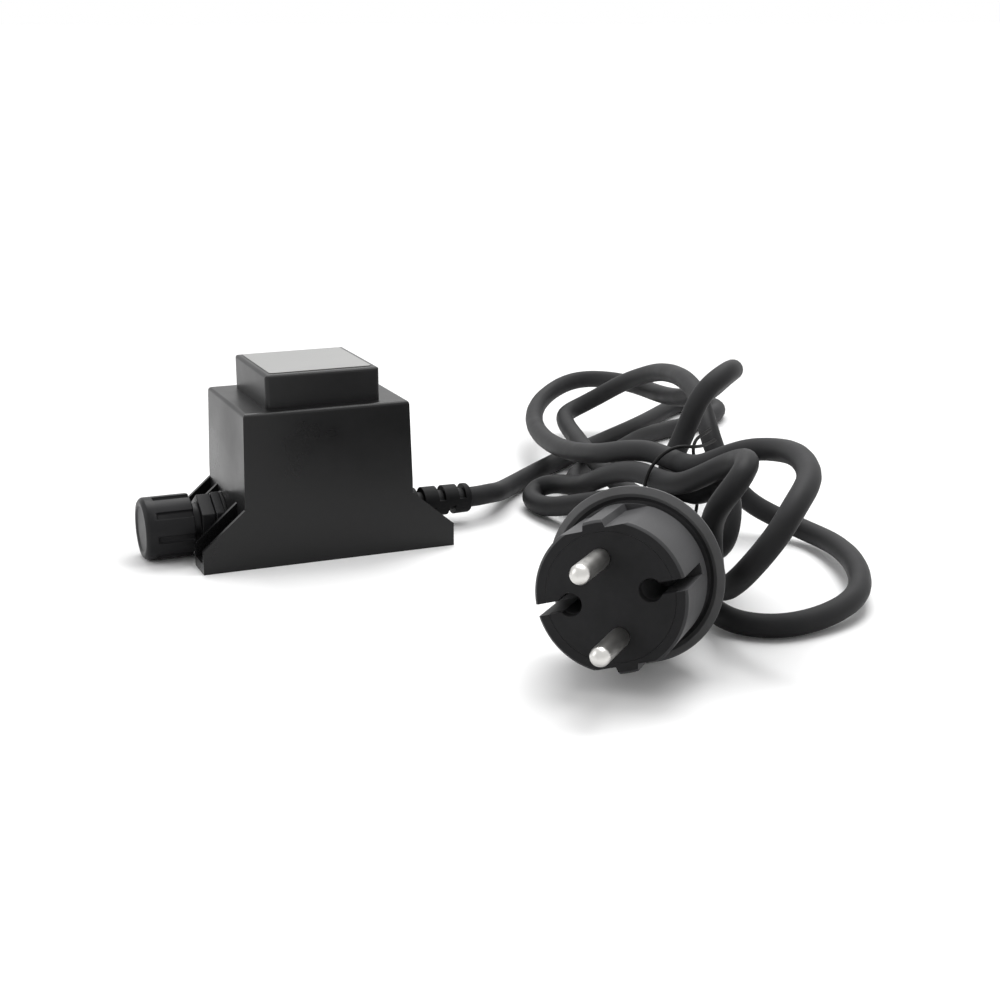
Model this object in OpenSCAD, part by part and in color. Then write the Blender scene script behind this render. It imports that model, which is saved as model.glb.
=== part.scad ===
// Mains power supply for garden lights: a potted transformer in a footed box, with a capped
// low-voltage outlet on the left and a mains cord on the right, gathered in a tied hank.
// The origin is the centre of the underside. +X runs from the outlet towards the cord, +Z is up.

/* [Box] */
// Length of the box at its top edge
box_l = 49.4; // [46:0.2:60]
// Slant of each end of the box, from its top edge to where the slopes of the feet meet it
box_draft = 0.7; // [0.4:0.1:1]
// Depth of the foot and of the box at the floor
foot_d = 43; // [42:0.5:52]
// Depth of the box at its top edge
box_d = 41.6; // [40:0.2:42]
// Height of the top face of the box
box_h = 45.4; // [44:0.2:60]
// Length of the raised block on the box
block_l = 34; // [32:0.5:40]
// Depth of the raised block
block_d = 34.4; // [32:0.2:38]
// Height of the raised block above the box
block_h = 9.9; // [9:0.1:14]
// Thickness of the moulded walls
wall = 2; // [1.6:0.1:2.6]
// Rounding of the outer edges
edge_r = 1.2; // [0.5:0.1:2]
// Depth of the sealing compound that closes the box from below
seal_depth = 4; // [3:0.1:5]

/* [Feet] */
// Length of a foot beyond the box
foot_run = 12.6; // [11:0.2:16]
// Height of the upright ends of the feet
foot_end_h = 6.8; // [5:0.1:9]
// Height at which the slopes meet the box
slope_top_z = 17.6; // [15:0.1:22]
// Thickness of the upright walls of a foot
foot_wall = 1.3; // [1:0.1:1.8]
// Clear width of the channel in a foot
channel_w = 8; // [7:0.1:8.6]
// Thickness of the floor of a channel
channel_floor = 3; // [2:0.1:4]
// Diameter of a screw hole
screw_hole_d = 4.2; // [3.2:0.1:5]
// Distance of a screw from the end of its foot
screw_inset = 6; // [5:0.1:7]

/* [Label] */
// Length of the bare label on the raised block
label_l = 30.4; // [20:0.1:31]
// Depth of the label
label_d = 30.8; // [20:0.1:31]
// Thickness of the label
label_t = 0.2; // [0.1:0.05:0.4]

/* [Transformer] */
// Thickness of the stack of laminations, as a share of the height of the box
stack_share = 0.42; // [0.34:0.01:0.43]
// Wall of the bobbin
bobbin_wall = 1; // [0.8:0.1:1.2]
// Thickness of the tape over the windings
tape_t = 0.3; // [0.2:0.05:0.5]
// Diameter of the thermal fuse
fuse_d = 3; // [2:0.1:3.2]
// Length of the thermal fuse
fuse_l = 10; // [8:0.5:14]
// Diameter of a terminal pin
pin_d = 0.9; // [0.6:0.05:1.2]
// Length of a terminal pin
pin_l = 5; // [4:0.5:6]
// Diameter of an insulated wire inside the box
wire_d = 1.8; // [1.4:0.1:2]

/* [Outlet] */
// Height of the axis of the outlet
outlet_z = 9.3; // [9.25:0.05:10]
// Diameter of the round boss on the box
boss_d = 17.4; // [16:0.1:18]
// Thickness of the boss
boss_t = 1.5; // [1:0.1:2]
// Diameter of the threaded stub in the wall
stub_d = 10; // [8:0.1:10]
// Thickness of the gasket
gasket_t = 0.9; // [0.6:0.1:1.2]
// Width of the lock nut across its flats
nut_af = 15.6; // [14:0.1:16]
// Thickness of the lock nut
nut_t = 2.6; // [2:0.1:3]
// Width of the hexagon on the outlet across its flats
hex_af = 15; // [13:0.1:15.6]
// Thickness of the hexagon on the outlet
hex_t = 4; // [3:0.1:5]
// Diameter of the collar in front of the hexagon
collar_d = 12.4; // [12:0.1:13]
// Length of the collar
collar_l = 3; // [2:0.1:4]
// Outer diameter of the thread that carries the cap
thread_d = 10.8; // [10:0.1:11]
// Length of that thread
thread_l = 8.6; // [8:0.1:10]
// Diameter of the socket in the outlet
socket_d = 7.2; // [6.4:0.1:7.6]
// Depth of the free space in the socket
socket_free = 5; // [4.4:0.1:6]
// Diameter of a contact
contact_d = 1.6; // [1.2:0.1:2]
// Distance between the contacts
contact_pitch = 3.8; // [3:0.1:4.2]

/* [Cap] */
// Outer diameter of the screw cap
cap_d = 18.4; // [17:0.1:18.4]
// Length of the screw cap
cap_l = 14.3; // [13:0.1:16]
// Number of grip recesses round the cap
cap_grips = 8; // [4:1:12]
// Width of a grip recess
grip_w = 2.4; // [1:0.1:2.6]
// Depth of a grip recess
grip_depth = 0.8; // [0.3:0.1:1]

/* [Strain relief] */
// Height of the axis of the cord where it leaves the box
relief_z = 8; // [7:0.1:9]
// Diameter of the strain relief
relief_d = 9.7; // [9:0.1:11]
// Length of the strain relief outside the box
relief_l = 25.8; // [22:0.1:30]
// Diameter of its neck in the wall
neck_d = 8; // [7.4:0.1:8.4]
// Distance from slot to slot along the strain relief
relief_pitch = 6.7; // [6:0.1:8]
// Width of a slot
relief_slot_w = 2.2; // [1.5:0.1:3]

/* [Plug] */
// Radius of the drum that carries the pins
drum_r = 18.4; // [17:0.1:19]
// Distance from the plug's axis to the flats on two sides of the drum
flat_r = 16.4; // [16.2:0.1:17]
// Width of the rib in the middle of each flat, at its foot
rib_w = 5.5; // [4:0.1:7]
// Distance from the face of the plug to the front of its collar
drum_l = 22.1; // [20:0.1:24]
// Radius of the collar
collar_r = 22.1; // [21:0.1:23]
// Thickness of the collar
collar_t = 4; // [3:0.1:5]
// Length of the grip behind the collar
grip_l = 20; // [16:0.5:24]
// Radius of the grip at its end
grip_end_r = 9; // [8:0.1:11]
// Length of the sleeve behind the grip
sleeve_l = 17.5; // [14:0.5:22]
// Radius of the sleeve
sleeve_r = 5; // [4.6:0.1:6]
// Diameter of a plug pin
prong_d = 4.8; // [4:0.1:5]
// Length of a plug pin in front of the face
prong_l = 19; // [18:0.1:20]
// Distance from pin to pin
prong_pitch = 19; // [18:0.1:20]
// Radius of the face plate
face_r = 15.6; // [15:0.1:15.8]
// Thickness of the face plate
face_t = 2.4; // [2:0.1:4]
// Diameter of an earth keyhole
keyhole_d = 5.6; // [5:0.1:6]
// Distance from the axis of the plug to an earth keyhole
keyhole_r = 9.9; // [9:0.1:11]
// Width of the slot of an earth keyhole
keyhole_slot = 2.8; // [2:0.1:3.4]
// Depth of an earth keyhole
keyhole_depth = 16; // [12:0.5:18]

/* [Cord] */
// Diameter of the mains cord
cord_d = 6.3; // [6:0.1:6.6]
// Diameter of the tie wire
tie_d = 1; // [0.8:0.1:1.2]

/* [Hidden] */

// Clearances and small allowances
cut = 1;
fit_gap = 0.1;
run_gap = 0.05;
free_gap = 0.3;

// Lengths that follow from the box and its feet
box_low_l = box_l + 2 * box_draft;
foot_l = box_low_l + 2 * foot_run;
screw_span = foot_l - 2 * screw_inset;
inner_l = box_l - 2 * wall;
inner_d = box_d - 2 * wall;

// The laminations: the legs, yokes and windows are shares of the centre leg, which fills the box
core_gap_l = 1.7;
core_gap_d = 1.3;
leg_w = min((inner_l - 2 * core_gap_l) / 3, (inner_d - 2 * core_gap_d) / 2.5);
yoke_w = leg_w / 2;
window_w = leg_w / 2;
window_l = 1.5 * leg_w;
stack_h = box_h * stack_share;

// Places along X, from the box to the end of the cap
boss_x = -box_low_l / 2 - boss_t;
gasket_x = boss_x - gasket_t;
nut_x = gasket_x - nut_t;
hex_gap = 0.2;
hex_x = nut_x - hex_gap - hex_t;
collar_x = hex_x - collar_l;
thread_x = collar_x - thread_l;
stub_reach = 3;
stub_inner_x = -box_l / 2 + wall + stub_reach;
contact_reach = 2;
contact_inner_x = stub_inner_x + contact_reach;
cap_lap = 0.7;
cap_mouth_x = collar_x + cap_lap;
cap_end_x = cap_mouth_x - cap_l;
seal_r = 0.45;
seal_x = collar_x - seal_r - fit_gap;
seal_ring_r = thread_d / 2 + seal_r + free_gap;
cap_bevel = 1;
grip_phase = 0.2;

// The transformer hangs from the inner top face of the box
core_top = box_h - wall;
core_z = core_top - stack_h / 2;
core_l = leg_w + 2 * window_w + 2 * yoke_w;
core_d = window_l + 2 * yoke_w;
bobbin_l = window_l - 4 * fit_gap;
bobbin_hx = leg_w / 2 + window_w - 4 * fit_gap;
bobbin_hz = stack_h / 2 + window_w - 7 * fit_gap;
tube_hx = leg_w / 2 + fit_gap + bobbin_wall;
tube_hz = stack_h / 2 + fit_gap + bobbin_wall;
wind_hx = bobbin_hx - 2 * tape_t;
wind_hz = bobbin_hz - 2 * tape_t;
ledge_w = 2.4;
ledge_h = 2.2;
pin_inset = 1;
pin_x = leg_w / 2 + pin_inset;
pin_y = bobbin_l / 2 - bobbin_wall / 2;
pin_top = core_z - bobbin_hz;
pin_seat = 2;
pin_ledge_y = bobbin_l / 2 - bobbin_wall + ledge_w / 2;
pin_tip = pin_top - ledge_h - pin_l + pin_seat;

// Places of the feet
channel_y = foot_d / 2 - foot_wall - channel_w / 2;
relief_end_x = box_low_l / 2 + relief_l;
relief_taper = 0.3;
relief_spine = 1;
core_pitch = 2.8;
core_reach = 3;
cord_inner_x = box_l / 2 - wall - core_reach;

// The cord's route was laid out for this end of the strain relief and moves along with it
route_home = 51.2;
shift = [relief_end_x - route_home, 0, 0];
function moved(points) = [for (p = points) p + shift];

// The plug lies on the rim of its collar
plug_heading = -131.8;
plug_tilt = 4.2;
plug_roll = 196.3;
plug_home = [28.6, -145.4];
plug_xy = plug_home + [shift.x, 0];
plug_axis = [cos(plug_tilt) * cos(plug_heading), cos(plug_tilt) * sin(plug_heading), sin(plug_tilt)];
rest_gap = 0.05;
plug_z = collar_r * cos(plug_tilt) + drum_l * sin(plug_tilt) + rest_gap;
plug_pos = [plug_xy.x, plug_xy.y, plug_z];
prong_root = 10;
prong_neck_d = prong_d - 8 * fit_gap;
prong_step = free_gap;
crimp_l = 6;
crimp_d = 5.6;
lip_depth = 1.8;
face_bevel = 0.6;
rib_top_w = 0.75 * rib_w;
plug_len = drum_l + collar_t + grip_l + sleeve_l;
plug_tail = plug_pos - plug_len * plug_axis;

// Place of the tie, and where each strand passes through it: offset along X and height
waist_home = [88, -64];
waist = waist_home + [shift.x, 0];
strands = [[-3.6, 11.6], [3.6, 14], [4, 22], [2.4, 30.4], [-4, 26], [-3.8, 18.8]];
strand_run = 8;

// Route of the cord from the strain relief to the tie, along the floor
lead_points = [[59, 1.5, 8], [64, 6.5, 6.6], [70, 16, 4.4], [77, 24, 3.5], [86, 32, 3.4],
    [97, 41.5, 3.4], [110, 52, 3.4], [124, 62, 3.4], [140, 74, 3.4], [156, 86, 3.4], [171, 99, 3.4],
    [181, 108, 3.4], [190, 112, 3.4], [197, 109, 3.4], [198, 100, 3.4], [192, 91, 3.4], [184, 84, 3.4],
    [173, 78, 3.4], [160, 74, 3.4], [147, 68, 3.4], [135, 57, 3.4], [118, 42, 3.4], [104, 31, 3.4],
    [95, 18, 3.4], [91, 2, 3.4], [89, -18, 3.4], [87, -38, 5.5]];

// Route of the rest of the cord, from one pass through the tie to the next
// From strand 0 out along the floor to the right
loop_f = [[83, -84, 9], [79, -97, 5], [75, -110, 4], [75, -122, 3.4], [84, -130, 3.4], [97, -129, 3.6],
    [109, -125, 5], [118, -117, 6], [125, -104, 7], [131, -90, 6], [135, -76, 5], [136, -62, 4],
    [131, -52, 6.5], [123, -49, 11]];
// Up behind, round the back and home along the floor to strand 1
loop_b = [[117, -48, 18], [115, -42, 25.5], [117, -33, 32], [121, -22, 36], [126, -8, 38],
    [131, 8, 38], [136, 26, 36], [140, 43, 33], [142, 60, 28], [141, 73, 23], [138, 83, 17],
    [131, 88, 12], [124, 86, 10.3], [119, 75, 10.2], [115, 62, 10.2], [112, 50, 10.2], [108, 36, 10.2],
    [104, 18, 10.2], [99, -4, 10.5], [94, -26, 11.5], [92, -44, 13.4]];
// The short fold in front, from strand 1 to strand 2
loop_g = [[90, -82, 10.5], [87.5, -91, 12], [87, -97, 16.5], [89, -96, 22], [93, -89, 26],
    [96, -81, 27], [95.5, -75, 25.5]];
// The high fold at the back right, from strand 2
loop_c = [[94, -50, 24], [99, -47, 29.5], [102, -48, 37], [103, -50, 43], [107, -50, 48.5],
    [114, -48, 51.5], [121, -41, 51], [126, -31, 48], [130, -18, 42.5]];
// The large loop at the back left, home to strand 3
loop_a = [[135, -2, 35], [139, 15, 29.5], [143, 32, 25.5], [147, 48, 22.5], [150, 64, 20.5],
    [151, 80, 20], [148, 96, 19.5], [138, 105, 19], [126, 101, 16.5], [114, 90, 13.5], [104, 70, 12],
    [97, 46, 12.5], [92, 22, 15], [88, -2, 19], [87, -22, 23.5], [87.4, -36, 28], [88.8, -48, 30.4]];
// The loop at the front right, and the fold inside it, from strand 3 to strand 4
loop_d = [[93, -80, 34.5], [99, -87, 39], [102, -98, 41], [99.5, -110.5, 43], [95, -122.5, 43.5],
    [88.5, -135, 43], [79.5, -143, 40.5], [73, -146, 34], [69, -141, 25], [70, -131, 17], [72, -121, 12],
    [75, -112, 12], [77.5, -106, 18], [76, -108, 26], [75, -114, 33], [78, -118, 39.5], [84, -113, 43],
    [90, -100, 40], [90, -89, 35.5], [86.5, -80, 29.5]];
// The low loop at the left, from strand 4 to strand 5
loop_e = [[84, -44, 24], [84, -30, 19], [84.5, -16, 12.5], [85, -3, 9], [84, 6, 7.6], [80.5, 11, 5.6],
    [76, 8.5, 3.7], [74, 0, 3.4], [74.5, -10, 4.6], [77.5, -22, 8.4], [81, -34, 12.4], [84, -46, 16.2]];

// Last stretch, from the tie to the plug
tail_points = [[83, -79, 18.6]];

// The tie wire: once round the strands, its two ends laid over each other
tie_points = [[106, -57, 34], [102, -60, 33.8], [98, -63, 34.2], [93.5, -65.5, 35], [90, -65, 35.6],
    [86, -64.5, 34.4], [82, -64, 31], [79.4, -64, 26], [79.4, -64, 18], [79.8, -64, 11], [82, -64, 7],
    [87, -64, 6.4], [92.5, -64, 8.6], [96.2, -64, 12.5], [96.9, -64, 18], [96.9, -64, 24],
    [96.4, -63.5, 29], [95.6, -62, 33.2], [98, -60, 36], [102, -57.5, 36.2], [106, -54, 36.4]];

// Outlines: rounded corners come from arcs
arc_steps = 5;
function unit(v) = v / norm(v);
function turn_between(a, b) = let(d = b - a) d > 180 ? d - 360 : d < -180 ? d + 360 : d;
function corner_arc(a, b, c, r) =
    let(u = unit(a - b), w = unit(c - b), half = acos(u * w) / 2,
        middle = b + unit(u + w) * r / sin(half),
        first = b + u * r / tan(half) - middle,
        last = b + w * r / tan(half) - middle,
        start = atan2(first.y, first.x),
        sweep = turn_between(start, atan2(last.y, last.x)))
    [for (i = [0:arc_steps]) middle + r * [cos(start + sweep * i / arc_steps), sin(start + sweep * i / arc_steps)]];
function rounded(points, radii) = let(n = len(points))
    [for (i = [0:n - 1]) each radii[i] > 0
        ? corner_arc(points[(i + n - 1) % n], points[i], points[(i + 1) % n], radii[i]) : [points[i]]];
function rectangle(l, d) = [[-l / 2, -d / 2], [l / 2, -d / 2], [l / 2, d / 2], [-l / 2, d / 2]];

// Smooth curves: a uniform cubic B-spline that starts and ends at its first and last point
function spline_point(q, i, t) =
    (pow(1 - t, 3) * q[i] + (3 * pow(t, 3) - 6 * t * t + 4) * q[i + 1]
        + (3 * t + 3 * t * t - 3 * pow(t, 3) + 1) * q[i + 2] + pow(t, 3) * q[i + 3]) / 6;
function spline(points, steps) =
    let(n = len(points), q = concat([2 * points[0] - points[1]], points, [2 * points[n - 1] - points[n - 2]]))
    concat([for (i = [0:n - 2]) for (k = [0:steps - 1]) spline_point(q, i, k / steps)], [points[n - 1]]);
function tangents(path) = let(n = len(path))
    [for (i = [0:n - 1]) unit(path[min(i + 1, n - 1)] - path[max(i - 1, 0)])];
function across(v, t) = unit(v - (v * t) * t);
function path_length(path) = let(n = len(path)) [for (i = [1:n - 1]) norm(path[i] - path[i - 1])] * [for (i = [1:n - 1]) 1];

// Least gap between stretches of a path that lie at least some points apart along it
function least_gap(path, apart, d) = let(n = len(path))
    min([for (i = [0:n - 1 - apart]) for (j = [i + apart:n - 1]) norm(path[i] - path[j])]) - d;

// A tube with flat ends along a path, its section carried along without twist
module tube(path, d, sides) {
    n = len(path);
    t = tangents(path);
    start = across(abs(t[0].z) < 0.9 ? [0, 0, 1] : [1, 0, 0], t[0]);
    normals = [for (i = 0, v = start; i < n; i = i + 1, v = i < n ? across(v, t[i]) : v) v];
    points = [for (i = [0:n - 1]) for (k = [0:sides - 1])
        let(a = 360 * k / sides)
        path[i] + d / 2 * (cos(a) * normals[i] + sin(a) * cross(t[i], normals[i]))];
    walls = [for (i = [0:n - 2]) for (k = [0:sides - 1])
        let(a = i * sides + k, b = i * sides + (k + 1) % sides)
        each [[a, b + sides, b], [a, a + sides, b + sides]]];
    caps = [for (k = [1:sides - 2]) each [[0, k, k + 1], [(n - 1) * sides, (n - 1) * sides + k + 1, (n - 1) * sides + k]]];
    polyhedron(points, concat(walls, caps));
}

// A block whose edges are rounded, standing on z = 0, with a flat underside
module soft_block(l, d, h, r) {
    intersection() {
        linear_extrude(h) polygon(rounded(rectangle(l, d), [r, r, r, r]));
        rotate([90, 0, 0]) linear_extrude(d + cut, center = true)
            translate([0, h / 2]) polygon(rounded(rectangle(l, h), [0, 0, r, r]));
        rotate([90, 0, 90]) linear_extrude(l + cut, center = true)
            translate([0, h / 2]) polygon(rounded(rectangle(d, h), [0, 0, r, r]));
    }
}

// A bar along Y with a rounded rectangular section
module bar_y(half_l, half_h, length, r) {
    rotate([90, 0, 0]) linear_extrude(length, center = true)
        polygon(rounded(rectangle(2 * half_l, 2 * half_h), [r, r, r, r]));
}

// A round piece along X, from x0 to x1, on the axis of the outlet or of the cord
module round_x(x0, x1, r, z) {
    translate([min(x0, x1), 0, z]) rotate([0, 90, 0]) cylinder(h = abs(x1 - x0), r = r, $fn = 64);
}
module hexagon_x(x0, x1, across_flats, z) {
    translate([x0, 0, z]) rotate([0, 90, 0]) cylinder(h = x1 - x0, r = across_flats / sqrt(3), $fn = 6);
}

// The tapered body of the box, closed at the top
module box_body() {
    intersection() {
        rotate([90, 0, 0]) linear_extrude(foot_d + cut, center = true)
            polygon(rounded([[-box_low_l / 2, 0], [box_low_l / 2, 0], [box_low_l / 2, slope_top_z],
                [box_l / 2, box_h], [-box_l / 2, box_h], [-box_low_l / 2, slope_top_z]],
                [0, 0, 0, edge_r, edge_r, 0]));
        rotate([90, 0, 90]) linear_extrude(box_low_l + cut, center = true)
            polygon(rounded([[-foot_d / 2, 0], [foot_d / 2, 0], [foot_d / 2, foot_end_h],
                [box_d / 2, box_h], [-box_d / 2, box_h], [-foot_d / 2, foot_end_h]],
                [0, 0, 0, edge_r, edge_r, 0]));
        linear_extrude(box_h) polygon(rounded(rectangle(box_low_l, foot_d),
            [edge_r / 2, edge_r / 2, edge_r / 2, edge_r / 2]));
    }
}

// Side view of the right foot, from inside the box wall outwards
module foot_outline() {
    polygon([[box_low_l / 2 - wall, 0], [foot_l / 2, 0], [foot_l / 2, foot_end_h],
        [box_low_l / 2, slope_top_z], [box_low_l / 2 - wall, slope_top_z]]);
}

// One channel of a foot: an outer wall flush with the front, an inner wall and a floor between them
module foot_channel() {
    for (y = [foot_d / 2 - foot_wall / 2, channel_y - channel_w / 2 - foot_wall / 2])
        translate([0, y, 0]) rotate([90, 0, 0]) linear_extrude(foot_wall, center = true) foot_outline();
    translate([box_low_l / 2 - wall, channel_y - channel_w / 2 - foot_wall / 2, 0])
        cube([foot_run + wall, channel_w + foot_wall, channel_floor]);
}

module housing() {
    color("#2b2b2d") difference() {
        union() {
            box_body();
            for (side = [0, 1]) for (face = [0, 1])
                mirror([side, 0, 0]) mirror([0, face, 0]) foot_channel();
            translate([0, 0, box_h - edge_r]) soft_block(block_l, block_d, block_h + edge_r, edge_r);
            round_x(boss_x, -box_low_l / 2 + wall, boss_d / 2, outlet_z);
        }
        translate([-box_l / 2 + wall, -box_d / 2 + wall, -cut])
            cube([inner_l, inner_d, box_h - wall + cut]);
        translate([-block_l / 2 + wall, -block_d / 2 + wall, 0])
            cube([block_l - 2 * wall, block_d - 2 * wall, box_h + block_h - wall]);
        round_x(boss_x - cut, -box_l / 2 + wall + cut, stub_d / 2, outlet_z);
        round_x(box_l / 2 - wall - cut, box_low_l / 2 + cut, neck_d / 2, relief_z);
        for (x = [-screw_span / 2, screw_span / 2]) for (y = [-channel_y, channel_y])
            translate([x, y, -cut]) cylinder(h = channel_floor + 2 * cut, d = screw_hole_d, $fn = 48);
    }
}

module label_plate() {
    color("#d4d4d2") translate([0, 0, box_h + block_h])
        linear_extrude(label_t) polygon(rounded(rectangle(label_l, label_d), [edge_r, edge_r, edge_r, edge_r]));
}

module sealing_compound() {
    color("#3a3733") translate([-box_l / 2 + wall, -box_d / 2 + wall, 0])
        cube([inner_l, inner_d, seal_depth]);
}

module core_e() {
    color("#7d7f84") translate([0, -yoke_w / 2, core_z]) difference() {
        cube([core_l, core_d - yoke_w, stack_h], center = true);
        for (side = [-1, 1])
            translate([side * (leg_w + window_w) / 2, yoke_w / 2 + cut / 2, 0])
                cube([window_w, window_l + cut, stack_h + cut], center = true);
    }
}

module core_i() {
    color("#7d7f84") translate([0, (core_d - yoke_w) / 2, core_z])
        cube([core_l, yoke_w, stack_h], center = true);
}

module bobbin() {
    color("#d9d2c0") difference() {
        union() {
            translate([0, 0, core_z]) {
                bar_y(tube_hx, tube_hz, bobbin_l, bobbin_wall / 2);
                for (y = [-pin_y, 0, pin_y])
                    translate([0, y, 0]) bar_y(bobbin_hx, bobbin_hz, bobbin_wall, bobbin_wall);
            }
            for (side = [-1, 1])
                translate([-bobbin_hx, side * pin_ledge_y - ledge_w / 2, pin_top - ledge_h])
                    cube([2 * bobbin_hx, ledge_w, ledge_h + bobbin_wall]);
        }
        translate([0, 0, core_z]) bar_y(leg_w / 2 + fit_gap, stack_h / 2 + fit_gap, core_d, fit_gap);
        for (x = [-pin_x, pin_x]) for (side = [-1, 1])
            translate([x, side * pin_ledge_y, pin_tip]) cylinder(h = pin_l, d = pin_d, $fn = 24);
    }
}

// Half a winding, between the middle flange and the flange on the given side
module winding(side) {
    chamber = (bobbin_l - 3 * bobbin_wall) / 2;
    translate([0, side * (bobbin_wall + chamber) / 2, core_z]) difference() {
        bar_y(wind_hx, wind_hz, chamber, window_w / 3);
        bar_y(tube_hx, tube_hz, chamber + cut, bobbin_wall / 2);
    }
}
module primary_winding() {
    color("#a9552c") winding(-1);
}
module secondary_winding() {
    color("#b8653a") winding(1);
}

module winding_tape() {
    chamber = (bobbin_l - 3 * bobbin_wall) / 2;
    color("#c9a227") for (side = [-1, 1])
        translate([0, side * (bobbin_wall + chamber) / 2, core_z]) difference() {
            bar_y(wind_hx + tape_t, wind_hz + tape_t, chamber, window_w / 3 + tape_t);
            bar_y(wind_hx, wind_hz, chamber + cut, window_w / 3);
        }
}

module thermal_fuse() {
    color("#d8d8d8") translate([-fuse_l / 2, -bobbin_l / 4, core_z + wind_hz + tape_t + fuse_d / 2])
        rotate([0, 90, 0]) cylinder(h = fuse_l, d = fuse_d, $fn = 32);
}

module terminal_pins() {
    color("#c0b07a") for (x = [-pin_x, pin_x]) for (side = [-1, 1])
        translate([x, side * pin_ledge_y, pin_tip]) cylinder(h = pin_l, d = pin_d, $fn = 24);
}

// An insulated wire from the end of the mains cord, or of a contact, to a terminal pin
module inner_wire(from, to_x, to_side) {
    reach = wire_d * 2;
    side = from.x > 0 ? -1 : 1;
    end = [to_x, to_side * pin_ledge_y, pin_tip];
    tube(spline([from, from + [side * reach, 0, 0], [(from.x + end.x) / 2, (from.y + end.y) / 2, from.z],
        end - [0, 0, wire_d], end], 4), wire_d, 8);
}
module live_wire() {
    color("#6b3f25") inner_wire([cord_inner_x, -core_pitch / 2, relief_z], pin_x, -1);
}
module neutral_wire() {
    color("#2c5fa8") inner_wire([cord_inner_x, core_pitch / 2, relief_z], -pin_x, -1);
}
module output_wire_a() {
    color("#b02a24") inner_wire([contact_inner_x, contact_pitch / 2, outlet_z], -pin_x, 1);
}
module output_wire_b() {
    color("#202022") inner_wire([contact_inner_x, -contact_pitch / 2, outlet_z], pin_x, 1);
}

module outlet_gasket() {
    color("#18181a") difference() {
        round_x(gasket_x, boss_x, boss_d / 2 - free_gap, outlet_z);
        round_x(gasket_x - cut, boss_x + cut, stub_d / 2, outlet_z);
    }
}

module lock_nut() {
    color("#3a3a3c") difference() {
        hexagon_x(nut_x, gasket_x, nut_af, outlet_z);
        round_x(nut_x - cut, gasket_x + cut, stub_d / 2, outlet_z);
    }
}

module outlet_body() {
    color("#303032") difference() {
        union() {
            round_x(hex_x + hex_t, stub_inner_x, stub_d / 2, outlet_z);
            hexagon_x(hex_x, hex_x + hex_t, hex_af, outlet_z);
            round_x(collar_x, hex_x, collar_d / 2, outlet_z);
            round_x(thread_x, collar_x, thread_d / 2, outlet_z);
        }
        round_x(thread_x - cut, hex_x, socket_d / 2, outlet_z);
        for (y = [-contact_pitch / 2, contact_pitch / 2])
            translate([0, y, 0]) round_x(thread_x, stub_inner_x + cut, contact_d / 2, outlet_z);
    }
}

module contact_carrier() {
    color("#8a8a86") difference() {
        round_x(thread_x + socket_free, hex_x, socket_d / 2, outlet_z);
        for (y = [-contact_pitch / 2, contact_pitch / 2])
            translate([0, y, 0]) round_x(thread_x, stub_inner_x, contact_d / 2, outlet_z);
    }
}

module outlet_contacts() {
    color("#c9b458") for (y = [-contact_pitch / 2, contact_pitch / 2])
        translate([0, y, 0]) round_x(thread_x + socket_free, contact_inner_x, contact_d / 2, outlet_z);
}

module cap_seal() {
    color("#151515") translate([seal_x, 0, outlet_z]) rotate([0, 90, 0])
        rotate_extrude($fn = 64) translate([seal_ring_r, 0]) circle(r = seal_r, $fn = 24);
}

module screw_cap() {
    bore_r = thread_d / 2 + run_gap;
    mouth_r = seal_ring_r + seal_r + free_gap;
    mouth_x = seal_x - seal_r - free_gap;
    color("#3b3b3d") difference() {
        translate([cap_end_x, 0, outlet_z]) rotate([0, 90, 0]) rotate_extrude($fn = 96)
            polygon([[0, 0], [cap_d / 2 - cap_bevel, 0], [cap_d / 2, cap_bevel], [cap_d / 2, cap_l], [0, cap_l]]);
        round_x(thread_x - free_gap, cap_mouth_x, bore_r, outlet_z);
        round_x(mouth_x, cap_mouth_x + cut, mouth_r, outlet_z);
        for (i = [0:cap_grips - 1])
            translate([0, 0, outlet_z]) rotate([360 * (i + grip_phase) / cap_grips, 0, 0])
                translate([cap_end_x + cap_l / 4, -grip_w / 2, cap_d / 2 - grip_depth])
                    cube([cap_l, grip_w, grip_depth + cut]);
    }
}

module strain_relief() {
    color("#39393b") difference() {
        union() {
            translate([box_low_l / 2, 0, relief_z]) rotate([0, 90, 0]) rotate_extrude($fn = 64)
                polygon(rounded([[0, 0], [relief_d / 2, 0], [relief_d / 2 - relief_taper, relief_l], [0, relief_l]],
                    [0, 0, edge_r, 0]));
            round_x(box_l / 2 - wall, box_low_l / 2, neck_d / 2, relief_z);
        }
        round_x(box_l / 2 - wall - cut, relief_end_x + cut, cord_d / 2, relief_z);
        for (i = [0:2]) for (side = [-1, 1])
            translate([relief_end_x - relief_pitch * (i + (side > 0 ? 0.5 : 1)) - relief_slot_w / 2, -relief_d,
                side > 0 ? relief_z + relief_spine : relief_z - relief_spine - relief_d])
                cube([relief_slot_w, 2 * relief_d, relief_d]);
    }
}

// The stretch of cord inside the strain relief, up to where its sheath is stripped
module cord_end() {
    color("#1f1f21") round_x(cord_inner_x, relief_end_x, cord_d / 2, relief_z);
}

module plug_frame() {
    translate(plug_pos) rotate([0, 90 - plug_tilt, plug_heading]) rotate([0, 0, plug_roll]) children();
}

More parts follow.
